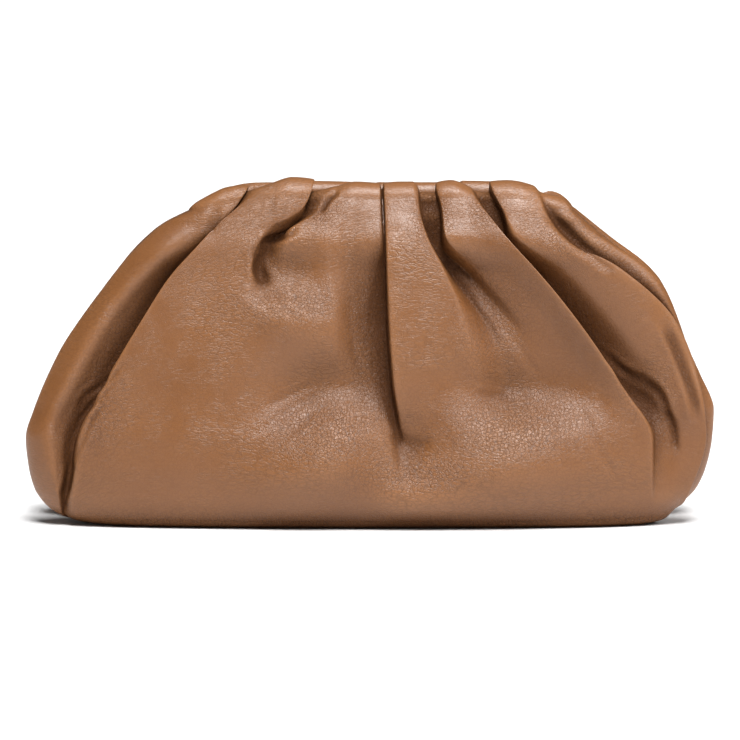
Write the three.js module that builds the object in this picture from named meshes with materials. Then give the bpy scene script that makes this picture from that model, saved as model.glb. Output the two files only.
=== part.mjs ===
// A gathered "cloud" clutch: one hide of soft leather, folded under for the base, drawn up in pleats
// over a slim metal frame and turned down inside it. Millimetres, +Z up, the front faces -Y, and the
// origin is on the floor under the middle of the bag.
import * as THREE from "three";
import { mergeVertices } from "three/addons/utils/BufferGeometryUtils.js";

// Driving sizes
const WIDTH = 224; // across the hips
const HEIGHT = 108.8; // floor to the crest of the lips, between the pleats
const DEPTH = 64; // front to back, just above the floor
const MOUTH_LENGTH = 126; // end to end of the lips
const MOUTH_SHIFT = 3; // the lips sit this far right of the middle
const MOUTH_GAP = 1.2; // between the closed lips
const WALL = 1.6; // thickness of the leather
const TURN_IN = 13; // how far the leather is turned down inside the mouth
const END_ROLL = 6; // radius, along the bag, of the leather's turn at the ends of the lips
const END_DROP = 3.6; // the ends of the lips are this much lower than their middle
const END_DROP_SPAN = 22; // over this length
const BAR_THICK = 2.6; // the frame's band
const BAR_HEIGHT = 6.5;
const BAR_CLEAR = 0.4; // air between the frame and the leather, along its sides
const BAR_END_CLEAR = 2.2; // the same at its ends
const GUSSET_SPREAD = 0.055; // half width of the inward fold at each side, in quarter turns of the ring
const FLOOR_FADE = 0.08; // the pleats die out below this share of the height
const END_DROP_FROM = 0.7; // the drop of the lips' ends starts at this share of the height
const FOLD_REACH = 2; // the inner face stays this far from the outer one, along the leather
const BASE_STEP = 0.4; // and its lowest rows rise at least this much each, over the base
const NEAR_SIDE = 0.95; // beyond this share of the reach the pleat lines draw together, so none passes the side
const BASE_MEET = { x: 7, y: 4 }; // where the facets of the flat base meet, clear of the origin
const BAR_BEND_POINTS = 9; // the frame's loop: points round each end
const BAR_RAIL_POINTS = 11; // and between the ends

// Sizes that follow
const LIP_HALF = MOUTH_GAP / 2 + WALL + BAR_CLEAR + BAR_THICK + BAR_CLEAR + WALL;
const LIP_ROLL = (LIP_HALF - MOUTH_GAP / 2) / 2; // radius of the leather's turn over the frame
const NECK = HEIGHT - LIP_ROLL; // where that turn starts

// The smooth form under the pleats, a row for each level from the floor to the lips.
// height: share of NECK. left, right: reach from the middle, share of WIDTH / 2.
// front, back: reach, share of DEPTH / 2. gusset: depth of the inward side fold, share of the reach.
// boxy: how square the form is seen from above, 1 is rounded. steps: mesh rows up to the next level.
const SECTIONS = [
  { height: 0.0, left: 0.82, right: 0.82, front: 0.78, back: 0.78, gusset: 0.04, boxy: 1.25, steps: 1 },
  { height: 0.014, left: 0.875, right: 0.86, front: 0.89, back: 0.89, gusset: 0.05, boxy: 1.2, steps: 1 },
  { height: 0.05, left: 0.94, right: 0.895, front: 0.97, back: 0.97, gusset: 0.08, boxy: 1.1, steps: 2 },
  { height: 0.115, left: 0.985, right: 0.955, front: 1.0, back: 1.0, gusset: 0.14, boxy: 1.0, steps: 2 },
  { height: 0.24, left: 1.005, right: 1.0, front: 0.99, back: 0.99, gusset: 0.22, boxy: 0.9, steps: 3 },
  { height: 0.36, left: 0.98, right: 1.005, front: 0.94, back: 0.94, gusset: 0.25, boxy: 0.87, steps: 4 },
  { height: 0.54, left: 0.905, right: 0.93, front: 0.82, back: 0.82, gusset: 0.25, boxy: 0.85, steps: 5 },
  { height: 0.75, left: 0.765, right: 0.845, front: 0.62, back: 0.62, gusset: 0.18, boxy: 0.95, steps: 4 },
  { height: 0.87, left: 0.685, right: 0.715, front: 0.49, back: 0.49, gusset: 0.1, boxy: 1.2, steps: 3 },
  { height: 0.95, left: 0.615, right: 0.64, front: 0.35, back: 0.35, gusset: 0.04, boxy: 1.8, steps: 3 },
];
const MOUTH_BOXY = 6; // as boxy above, at the lips
const ROLL_STEPS = 5; // mesh rows over the lips
const TURN_STEPS = 1;

// The pleats, a row for each line that runs down the leather, a crest or a crease.
// x: its place at each of LEVELS, in hundredths of WIDTH / 2, 0 in the middle.
// rise: how far it stands out of the smooth form there, in millimetres. steps: columns to the next.
const LEVELS = [1.0, 0.94, 0.87, 0.77, 0.62, 0.45, 0.27, 0.08]; // shares of HEIGHT, from the lips down
const FRONT_PLEATS = [
  { name: "left_roll", x: [-42, -50, -58, -67, -79, -88, -95, -91], rise: [3, 2.5, 2, 1.5, 1.5, 1.5, 1.5, 0.5], steps: 3 },
  { name: "first_rim", x: [-34.5, -41, -51, -61, -73, -82.5, -90.5, -90.5], rise: [3.5, 2.5, 0, -2.5, -2.5, -3, -1.5, 0], steps: 1 },
  { name: "first_pocket", x: [-37, -40.5, -49, -58, -67, -78, -87.5, -90], rise: [0, -0.8, -4, -6, -7, -6, -5, -2], steps: 1 },
  { name: "left_edge", x: [-31.5, -40, -47.5, -56, -65.5, -75, -83, -86.5], rise: [2, 3, 3.5, 3.5, 3.5, 3, 2, 0.5], steps: 3 },
  { name: "left_panel", x: [-23, -28.5, -38, -42.5, -48, -55.5, -63, -67], rise: [5, 4, 3, 2, 1.5, 1, 0.5, 0], steps: 3 },
  { name: "second_rim", x: [-16.5, -20, -31.5, -35, -38, -42.5, -47, -50], rise: [4, 3, 2, 1.5, 1.5, 1, 0.5, 0], steps: 2 },
  { name: "second_pocket", x: [-18.5, -19.5, -28.5, -32, -29, -31, -33.5, -35], rise: [0, -0.8, -3.5, -2.5, 1.5, 0.5, 0.5, 0], steps: 1 },
  { name: "third_edge", x: [-10, -14.5, -23.5, -25, -20.5, -20.5, -22, -23.5], rise: [2, 2.5, 2.5, -0.5, 1, -0.5, 1, 0], steps: 2 },
  { name: "third_crest", x: [-4.5, -7.5, -14, -13, -11.5, -11.5, -11.5, -10], rise: [3.5, 3.5, 3, 1, 0.5, -2, 2, 0], steps: 2 },
  { name: "middle_hollow", x: [0.5, -1, -4, -5.5, -5.5, -4, -1, 2.5], rise: [3.2, 3, 1.5, -2, -4, -5, -0.5, 0], steps: 2 },
  { name: "middle_shelf", x: [2.6, 2.9, 3.1, 2.3, 2.3, 3.5, 6, 7.5], rise: [3, 2.5, 1.5, -3.5, -7, -7, -3, 0], steps: 1 },
  { name: "middle_crease", x: [3.2, 3.5, 3.8, 4, 4.4, 5.6, 8, 9.5], rise: [1, 0.5, 0, -4.5, -7.5, -7.5, -4.5, 0], steps: 1 },
  { name: "tongue_edge", x: [3.9, 4.2, 4.5, 4.8, 5.4, 6.7, 9.6, 11], rise: [3, 3, 3, 2.5, 1.5, 0, -4, 0], steps: 2 },
  { name: "tongue", x: [8.8, 9, 9.6, 11, 12.3, 12.6, 13.2, 13.7], rise: [3.5, 3.5, 3.5, 3, 2, 0.5, -4, 0], steps: 2 },
  { name: "tongue_side", x: [12, 12.6, 13.5, 17, 20.5, 19, 18, 20.5], rise: [3.5, 3.5, 3.5, 3, 1.5, 0, -3, 0], steps: 1 },
  { name: "tongue_fall", x: [13.5, 14, 15.8, 21.3, 29.5, 32, 27, 29], rise: [2.5, 3, 3, 3, 1, 0, 1, 0], steps: 1 },
  { name: "third_floor", x: [14.6, 15.2, 17.8, 23.4, 32, 38.5, 38, 39.5], rise: [0, -0.8, -6, -8, -7, -2, 1.5, 0], steps: 1 },
  { name: "third_bank", x: [18.7, 20, 20.5, 28.7, 40.5, 48, 51, 52.5], rise: [0, -0.8, -5, -7.5, -6, -2.5, 2, 0], steps: 1 },
  { name: "fifth_edge", x: [19, 20.8, 21.6, 31.6, 44.5, 55.5, 61.5, 64.5], rise: [3, 3, 2.5, -4, -4, -2, 2, 0], steps: 2 },
  { name: "fifth_crest", x: [23.5, 25.7, 30.5, 39.5, 52, 64.5, 73, 74.5], rise: [4, 3.5, 2.5, 0, -0.5, 0, 1, 0], steps: 2 },
  { name: "long_edge", x: [28.7, 32.7, 38, 47, 59.5, 72, 84.8, 82], rise: [2, 3, 3.5, 4.5, 5, 4, 1.5, 0], steps: 1 },
  { name: "long_floor", x: [30.7, 34.2, 38.6, 48.2, 61.5, 74.3, 87.4, 84], rise: [0.5, -0.5, -4, -7.5, -9, -7, -3, 0], steps: 1 },
  { name: "long_bank", x: [34.5, 37.7, 39.5, 52, 66, 81.3, 90.6, 86.5], rise: [0, -0.8, -4, -7.5, -9, -7, -3.5, 0], steps: 1 },
  { name: "sixth_edge", x: [34.8, 38.3, 41.5, 58, 73.7, 87, 93.6, 88.5], rise: [3.5, 3.5, 2, -2.5, -4, -4, -2, 0], steps: 2 },
  { name: "sixth_crest", x: [41, 45.3, 50.3, 65.8, 81.3, 91.2, 96, 90.5], rise: [4, 4, 3.5, 2.5, 2, 1, 1, 0], steps: 2 },
  { name: "right_edge", x: [47, 51.2, 56.5, 71.3, 86.8, 94, 97, 92], rise: [3.5, 3.5, 3.5, 3.5, 3, 2, 1.5, 0.5], steps: 1 },
  { name: "shoulder_crease", x: [49.7, 54, 60, 73.7, 87.6, 95, 97.5, 92.5], rise: [2, 1, 0.5, 1, 1.3, 1.2, 1, 0], steps: 1 },
  { name: "right_shoulder", x: [55.5, 59.5, 66.5, 79.5, 88.5, 96, 98, 93], rise: [2, 2, 2, 1.5, 1, 0, 0, 0], steps: 3 },
];
const BACK_PLEATS = [
  { name: "back_right_roll", x: [55, 61, 68, 79, 88, 95, 97, 91], rise: [3, 3, 3, 2.5, 2, 1.5, 1.5, 0.5], steps: 3 },
  { name: "back_right_groove", x: [44, 48, 54, 64, 74, 82, 86, 84], rise: [0, -0.8, -3.5, -4.5, -5, -4.5, -3, -1], steps: 1 },
  { name: "back_right_edge", x: [41, 45, 51, 60, 69, 76, 80, 80], rise: [3, 3, 3, 3.5, 3.5, 3, 2, 0.5], steps: 3 },
  { name: "back_right_fall", x: [27, 28, 30, 34, 41, 49, 56, 58], rise: [3.5, 3, 3, 2, 1.5, 1, 0, 0], steps: 1 },
  { name: "back_right_crease", x: [24, 23, 24, 27, 34, 42, 49, 52], rise: [0, -0.8, -4, -5.5, -5, -3, -1, 0], steps: 1 },
  { name: "back_middle_right", x: [20, 19, 18, 18, 19, 22, 26, 28], rise: [3, 3, 3, 2.5, 2, 1.5, 1, 0], steps: 3 },
  { name: "back_middle_left", x: [2, 0, -3, -7, -10, -11, -12, -12], rise: [3, 3, 3, 2.5, 2, 1.5, 1, 0], steps: 1 },
  { name: "back_middle_crease", x: [0, -3, -7, -13, -20, -25, -28, -29], rise: [0, -0.8, -4.5, -6, -6, -5, -2.5, 0], steps: 1 },
  { name: "back_left_fall", x: [-4, -7, -12, -19, -28, -35, -40, -42], rise: [3, 3, 3, 2, 2, 2, 1, 0], steps: 2 },
  { name: "back_left_swell", x: [-20, -23, -29, -37, -46, -54, -60, -62], rise: [3.5, 3, 3, 2.5, 2, 1.5, 1, 0], steps: 1 },
  { name: "back_left_crease", x: [-24, -27, -34, -43, -54, -63, -70, -72], rise: [0, -0.8, -4, -5, -5.5, -4.5, -2.5, -0.5], steps: 1 },
  { name: "back_left_edge", x: [-27, -31, -39, -49, -61, -71, -78, -79], rise: [3, 3, 3, 3.5, 3.5, 3, 2, 0.5], steps: 3 },
  { name: "back_left_roll", x: [-44, -52, -61, -71, -84, -93, -97, -91], rise: [2.5, 2.5, 2.5, 2, 1.5, 1.5, 1.5, 0.5], steps: 3 },
];

// Soft dents and swells of the front between the pleats, a row for each.
// x: share of WIDTH / 2. z: share of HEIGHT. wide, tall: half sizes in millimetres.
// tilt: degrees, anticlockwise. rise: millimetres, out of the bag.
const FRONT_DENTS = [
  { name: "hook_dent", x: -0.205, z: 0.79, wide: 9, tall: 7, tilt: 30, rise: -1.5 },
  { name: "chest_swell", x: -0.24, z: 0.63, wide: 15, tall: 8, tilt: -25, rise: 2 },
  { name: "belly_swell_left", x: -0.09, z: 0.22, wide: 16, tall: 9, tilt: 20, rise: 2.5 },
  { name: "tongue_end", x: 0.125, z: 0.245, wide: 9, tall: 4, tilt: 0, rise: -2.5 },
  { name: "belly_swell_middle", x: 0.12, z: 0.15, wide: 18, tall: 6, tilt: 0, rise: 1.5 },
  { name: "belly_swell_right", x: 0.45, z: 0.28, wide: 17, tall: 9, tilt: 15, rise: 2.5 },
  { name: "hip_dent", x: 0.8, z: 0.41, wide: 7, tall: 6, tilt: -50, rise: -2.5 },
];

// A smooth curve through (xs, ys), xs rising, that never overshoots a crest or a hollow.
function smoothThrough(xs, ys) {
  const last = xs.length - 1;
  const slope = xs.slice(1).map((x, i) => (ys[i + 1] - ys[i]) / (x - xs[i]));
  const tangent = ys.map((_, i) => {
    if (i === 0) return slope[0];
    if (i === last) return slope[last - 1];
    return slope[i - 1] * slope[i] <= 0 ? 0 : (2 * slope[i - 1] * slope[i]) / (slope[i - 1] + slope[i]);
  });
  return (x) => {
    if (x <= xs[0]) return ys[0];
    if (x >= xs[last]) return ys[last];
    let i = 0;
    while (x > xs[i + 1]) i += 1;
    const span = xs[i + 1] - xs[i];
    const t = (x - xs[i]) / span;
    const rest = 1 - t;
    return (
      ys[i] * (1 + 2 * t) * rest * rest +
      ys[i + 1] * t * t * (3 - 2 * t) +
      span * (tangent[i] * t * rest * rest - tangent[i + 1] * t * t * rest)
    );
  };
}

const smoothStep = (t) => {
  const s = Math.min(1, Math.max(0, t));
  return s * s * (3 - 2 * s);
};

// Places from the front to the side, to look for the widest one.
const GUSSET_SAMPLES = Array.from({ length: 61 }, (_, i) => 0.4 + i / 100);

// Rings are counted by station: whole numbers are the rows of SECTIONS, then the neck, the inner side of
// the lips and the end of the turned-in leather.
const NECK_STATION = SECTIONS.length;
const INNER_STATION = NECK_STATION + 1;
const END_STATION = NECK_STATION + 2;

// The widest reach of a ring is the named size: the fold in its side is made up for.
function placed(ring) {
  const widest = widestShare(ring.gusset);
  return { ...ring, centre: (ring.right - ring.left) / 2, half: (ring.right + ring.left) / 2 / widest };
}

const wallStations = SECTIONS.map((_, i) => i).concat(NECK_STATION);
const mouthReach = { left: MOUTH_LENGTH / 2 - MOUTH_SHIFT, right: MOUTH_LENGTH / 2 + MOUTH_SHIFT };
const wallSizes = {
  height: [...SECTIONS.map((s) => s.height * NECK), NECK],
  left: [...SECTIONS.map((s) => (s.left * WIDTH) / 2), mouthReach.left],
  right: [...SECTIONS.map((s) => (s.right * WIDTH) / 2), mouthReach.right],
  front: [...SECTIONS.map((s) => (s.front * DEPTH) / 2), LIP_HALF],
  back: [...SECTIONS.map((s) => (s.back * DEPTH) / 2), LIP_HALF],
  gusset: [...SECTIONS.map((s) => s.gusset), 0],
  boxy: [...SECTIONS.map((s) => s.boxy), MOUTH_BOXY],
};
const wallCurves = Object.fromEntries(
  Object.entries(wallSizes).map(([name, values]) => [name, smoothThrough(wallStations, values)]),
);

// The smooth ring at a station.
function ringAt(station) {
  const ring = Object.fromEntries(Object.entries(wallCurves).map(([name, curve]) => [name, curve(station)]));
  if (station <= NECK_STATION) return placed({ ...ring, pleating: 1 });
  const turn = Math.min(1, station - NECK_STATION) * Math.PI;
  const drop = Math.max(0, station - INNER_STATION) * TURN_IN;
  const inward = LIP_ROLL * (1 - Math.cos(turn));
  const endInward = END_ROLL * (1 - Math.cos(turn));
  return placed({
    height: NECK + LIP_ROLL * Math.sin(turn) - drop,
    left: mouthReach.left - endInward,
    right: mouthReach.right - endInward,
    front: LIP_HALF - inward,
    back: LIP_HALF - inward,
    gusset: 0,
    boxy: MOUTH_BOXY,
    pleating: smoothStep((Math.PI - turn) / (Math.PI / 2)),
  });
}

// How much lower the lips are near their ends. The leather under them follows, less and less.
function endDrop(x, height) {
  const toEnd = Math.min(x + mouthReach.left, mouthReach.right - x);
  const reached = smoothStep((height / HEIGHT - END_DROP_FROM) / (1 - END_DROP_FROM));
  return END_DROP * smoothStep(1 - toEnd / END_DROP_SPAN) * reached;
}

// The reach along the bag at a place round a ring, before the ring is moved and sized. The fold takes some
// away at the sides, so the widest place is just in front of them and behind them.
function sideways(gusset, round) {
  const toSide = Math.min(Math.abs(round - 1), Math.abs(round + 1), Math.abs(round - 3));
  return Math.sin((round * Math.PI) / 2) * (1 - gusset * Math.exp(-((toSide / GUSSET_SPREAD) ** 2)));
}
const widestShare = (gusset) => Math.max(...GUSSET_SAMPLES.map((round) => sideways(gusset, round)));

// A point of a ring. round is -1 at the left side, 0 at the front, 1 at the right side and 2 at the back.
function ringPoint(ring, round) {
  const forward = Math.cos((round * Math.PI) / 2);
  const reach = forward > 0 ? ring.front : ring.back;
  const x = ring.centre + ring.half * sideways(ring.gusset, round);
  const y = -Math.sign(forward) * Math.sqrt(1 - (1 - Math.abs(forward)) ** ring.boxy) * reach;
  return new THREE.Vector3(x, y, ring.height - endDrop(x, ring.height));
}

// The pleat lines all the way round, from the left side over the front. Each gives its place round a ring
// and its rise at a level.
const upwards = [...LEVELS].reverse();
function lineOf(row, toRound) {
  const xAt = smoothThrough(upwards, row.x.map((x) => (x / 100) * (WIDTH / 2)).reverse());
  return { roundAt: (level, ring) => toRound(xAt(level), ring), riseAt: smoothThrough(upwards, [...row.rise].reverse()), steps: row.steps };
}
function frontRound(x, ring) {
  const share = (x - ring.centre) / ring.half;
  const past = Math.max(0, Math.abs(share) - NEAR_SIDE) / (1 - NEAR_SIDE);
  const kept = Math.min(Math.abs(share), NEAR_SIDE) + (1 - NEAR_SIDE) * Math.tanh(past);
  return (Math.sign(share) * 2 * Math.asin(kept)) / Math.PI;
}
const sideLine = (round, steps) => ({ roundAt: () => round, riseAt: () => 0, steps });
const LINES = [
  sideLine(-1, 4),
  ...FRONT_PLEATS.map((row) => lineOf(row, frontRound)),
  sideLine(1, 3),
  ...BACK_PLEATS.map((row) => lineOf(row, (x, ring) => 2 - frontRound(x, ring))),
  sideLine(3, 0),
];
const lineNumbers = LINES.map((_, i) => i);

// Where the columns run at a ring, and how far the leather stands out there. Some pleats lie over their
// neighbour outside, and inside the mouth the leather is flat again, with its lines in order.
function pleatsAt(ring) {
  const level = ring.height / HEIGHT;
  const seen = ring.pleating < 1 ? 1 : level;
  const fade = ring.pleating * smoothStep(level / FLOOR_FADE);
  const rounds = LINES.map((line) => line.roundAt(seen, ring));
  const flat = [...rounds].sort((a, b) => a - b);
  return {
    round: smoothThrough(lineNumbers, rounds.map((round, i) => flat[i] + (round - flat[i]) * ring.pleating)),
    flatRound: smoothThrough(lineNumbers, flat),
    rise: smoothThrough(lineNumbers, LINES.map((line) => line.riseAt(seen) * fade)),
    fade,
  };
}

function dentAt(point, fade) {
  return FRONT_DENTS.reduce((sum, dent) => {
    const dx = point.x - (dent.x * WIDTH) / 2;
    const dz = point.z - dent.z * HEIGHT;
    const turn = THREE.MathUtils.degToRad(dent.tilt);
    const along = (dx * Math.cos(turn) + dz * Math.sin(turn)) / dent.wide;
    const over = (dz * Math.cos(turn) - dx * Math.sin(turn)) / dent.tall;
    return sum + fade * dent.rise * Math.exp(-(along * along + over * over));
  }, 0);
}

// The direction out of the smooth form.
function outward(station, ring, round) {
  const nudge = 0.01;
  const across = ringPoint(ring, round + nudge).sub(ringPoint(ring, round - nudge));
  const up = ringPoint(ringAt(Math.min(END_STATION, station + nudge)), round).sub(
    ringPoint(ringAt(Math.max(0, station - nudge)), round),
  );
  return across.cross(up).normalize();
}

// One ring of the leather, its outer and its inner face. columns count pleat lines. The inner face is set in
// by WALL. It passes under the folds that are too tight for it, so there the leather lies doubled.
function leatherRing(station, columns) {
  const ring = ringAt(station);
  const pleats = pleatsAt(ring);
  const places = columns.map((column) => {
    const round = pleats.round(column);
    const base = ringPoint(ring, round);
    const dents = round > -1 && round < 1 ? dentAt(base, pleats.fade) : 0;
    return { round, base, rise: pleats.rise(column) + dents };
  });
  const outer = places.map(({ round, base, rise }) => base.clone().addScaledVector(outward(station, ring, round), rise));
  const inner = columns.map((column) => {
    const round = pleats.flatRound(column);
    const base = ringPoint(ring, round);
    const near = places.filter((place) => place.base.distanceTo(base) < FOLD_REACH).map((place) => place.rise);
    const rise = Math.min(pleats.rise(column), ...near) - WALL;
    return base.addScaledVector(outward(station, ring, round), rise);
  });
  return { outer, inner };
}

// Values from 0 to the last of steps.length, with steps[i] equal steps from i to i + 1.
const divided = (steps) => [...steps.flatMap((n, i) => Array.from({ length: n }, (_, k) => i + k / n)), steps.length];

// The leather: an outer face, the same face set in by WALL, a flat base in each and the turned-in edge.
function leatherGeometry() {
  const rows = divided([...SECTIONS.map((s) => s.steps), ROLL_STEPS, TURN_STEPS]);
  const columns = divided(LINES.slice(0, -1).map((line) => line.steps)).slice(0, -1);
  const rings = rows.map((station) => leatherRing(station, columns));
  const outer = rings.map((ring) => ring.outer);
  const inner = rings.map((ring) => ring.inner);
  for (const point of outer[0]) point.z = 0;
  for (const point of inner[0]) point.z = WALL;
  inner.forEach((row, r) => {
    if (r > 0) for (const point of row) point.z = Math.max(point.z, WALL + BASE_STEP * Math.min(r, 3));
  });

  const positions = [];
  const triangle = (a, b, c) => positions.push(...a.toArray(), ...b.toArray(), ...c.toArray());
  const quad = (a, b, c, d) => {
    triangle(a, b, c);
    triangle(a, c, d);
  };
  const count = columns.length;
  for (let r = 0; r + 1 < rows.length; r += 1) {
    for (let c = 0; c < count; c += 1) {
      const n = (c + 1) % count;
      quad(outer[r][c], outer[r][n], outer[r + 1][n], outer[r + 1][c]);
      quad(inner[r][c], inner[r + 1][c], inner[r + 1][n], inner[r][n]);
    }
  }
  const top = rows.length - 1;
  for (let c = 0; c < count; c += 1) {
    const n = (c + 1) % count;
    quad(outer[top][c], outer[top][n], inner[top][n], inner[top][c]);
  }
  const under = new THREE.Vector3(BASE_MEET.x, BASE_MEET.y, 0);
  const inside = new THREE.Vector3(BASE_MEET.x, BASE_MEET.y, WALL);
  for (let c = 0; c < count; c += 1) {
    const n = (c + 1) % count;
    triangle(outer[0][n], outer[0][c], under);
    triangle(inner[0][c], inner[0][n], inside);
  }
  const geometry = new THREE.BufferGeometry();
  geometry.setAttribute("position", new THREE.Float32BufferAttribute(positions, 3));
  return mergeVertices(geometry, 1e-4);
}

// The frame: a flat band bent into a long loop with round ends, which the leather wraps from outside to
// inside. It follows the drop of the lips at their ends.
function frameGeometry() {
  const outside = LIP_HALF - WALL - BAR_CLEAR;
  const left = mouthReach.left - WALL - BAR_END_CLEAR;
  const right = mouthReach.right - WALL - BAR_END_CLEAR;
  const loop = (radius) => {
    const bend = (middle, from) =>
      Array.from({ length: BAR_BEND_POINTS }, (_, i) => {
        const angle = from + (Math.PI * i) / (BAR_BEND_POINTS - 1);
        return new THREE.Vector2(middle + radius * Math.cos(angle), radius * Math.sin(angle));
      });
    const rail = (from, to, y) =>
      Array.from({ length: BAR_RAIL_POINTS }, (_, i) => {
        const t = (i + 1) / (BAR_RAIL_POINTS + 1);
        return new THREE.Vector2(from + (to - from) * t, y);
      });
    const leftBend = outside - left;
    const rightBend = right - outside;
    return [
      ...bend(rightBend, -Math.PI / 2),
      ...rail(rightBend, leftBend, radius),
      ...bend(leftBend, Math.PI / 2),
      ...rail(leftBend, rightBend, -radius),
    ];
  };
  const shape = new THREE.Shape(loop(outside));
  shape.holes.push(new THREE.Path(loop(outside - BAR_THICK).reverse()));
  const geometry = new THREE.ExtrudeGeometry(shape, { depth: BAR_HEIGHT, bevelEnabled: false, steps: 1 });
  const place = geometry.getAttribute("position");
  for (let i = 0; i < place.count; i += 1) place.setZ(i, place.getZ(i) - endDrop(place.getX(i), HEIGHT));
  return geometry;
}

const leather = new THREE.MeshStandardMaterial({ color: 0xa87650, roughness: 0.5, metalness: 0 });
const metal = new THREE.MeshStandardMaterial({ color: 0x9a9a98, roughness: 0.35, metalness: 1 });

const body = new THREE.Mesh(leatherGeometry(), leather);
body.name = "leather_body";

const frame = new THREE.Mesh(frameGeometry(), metal);
frame.name = "closure_frame";
frame.position.z = NECK - BAR_HEIGHT;

const bag = new THREE.Group();
bag.add(body, frame);
export default bag;
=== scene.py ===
"""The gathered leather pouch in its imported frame: metres, origin on the floor, front to -Y."""

import math

import bpy
import numpy as np
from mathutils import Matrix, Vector


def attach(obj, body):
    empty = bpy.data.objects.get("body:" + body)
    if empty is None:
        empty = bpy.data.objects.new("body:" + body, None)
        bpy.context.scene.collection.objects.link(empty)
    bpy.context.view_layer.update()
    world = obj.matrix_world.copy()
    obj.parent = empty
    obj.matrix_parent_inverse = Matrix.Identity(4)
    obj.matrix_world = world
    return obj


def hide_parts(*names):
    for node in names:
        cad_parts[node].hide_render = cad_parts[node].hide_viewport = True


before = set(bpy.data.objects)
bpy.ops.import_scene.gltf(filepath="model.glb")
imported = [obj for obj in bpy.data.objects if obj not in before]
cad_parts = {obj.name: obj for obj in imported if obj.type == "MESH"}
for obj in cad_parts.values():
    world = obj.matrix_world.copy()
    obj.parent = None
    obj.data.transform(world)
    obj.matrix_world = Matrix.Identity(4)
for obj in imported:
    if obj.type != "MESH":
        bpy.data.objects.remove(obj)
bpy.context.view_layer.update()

MM = 0.001

# Sizes of the bag, in millimetres, as in the CAD source.
WIDTH = 224
HEIGHT = 108.8
DEPTH = 64
MOUTH_LENGTH = 126
MOUTH_SHIFT = 3
MOUTH_GAP = 1.2
WALL = 1.6
TURN_IN = 13
END_ROLL = 6
END_DROP = 3.6
END_DROP_SPAN = 22
LIP_HALF = 7.2
GUSSET_SPREAD = 0.055
FLOOR_FADE = 0.08
END_DROP_FROM = 0.7
NEAR_SIDE = 0.95
BASE_MEET = (7, 4)
LIP_ROLL = (LIP_HALF - MOUTH_GAP / 2) / 2
NECK = HEIGHT - LIP_ROLL
MOUTH_BOXY = 6

# How fine the mesh is: millimetres between columns, rows for each part, every how many of them the inner face
# has one, rows over which directions are eased, and trial rows from which the spacings are worked out.
FRONT_SPACING = 0.74
BACK_SPACING = 2.0
WALL_ROWS = 138
ROLL_ROWS = 14
TURN_ROWS = 5
INNER_STEP = 4
EASE_ROWS = 7
ROW_TRIALS = 400
SPACING_TRIALS = 24

# The smooth form under the pleats: height as a share of NECK, left and right reach as shares of WIDTH / 2,
# front and back reach as shares of DEPTH / 2, depth of the side fold, and how square it is from above.
SECTION_COLUMNS = ("height", "left", "right", "front", "back", "gusset", "boxy")
SECTIONS = [
    (0.0, 0.82, 0.82, 0.73, 0.73, 0.04, 1.25),
    (0.014, 0.875, 0.86, 0.835, 0.835, 0.05, 1.2),
    (0.05, 0.94, 0.895, 0.925, 0.925, 0.08, 1.1),
    (0.115, 0.985, 0.955, 0.985, 0.985, 0.14, 1.0),
    (0.19, 1.0, 0.985, 1.005, 1.005, 0.19, 0.95),
    (0.27, 1.005, 1.0, 0.99, 0.99, 0.23, 0.9),
    (0.36, 0.98, 1.005, 0.94, 0.94, 0.25, 0.87),
    (0.54, 0.905, 0.93, 0.82, 0.82, 0.25, 0.85),
    (0.75, 0.765, 0.845, 0.62, 0.62, 0.18, 0.95),
    (0.87, 0.685, 0.715, 0.49, 0.49, 0.1, 1.2),
    (0.95, 0.615, 0.64, 0.32, 0.32, 0.04, 1.8),
]

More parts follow.
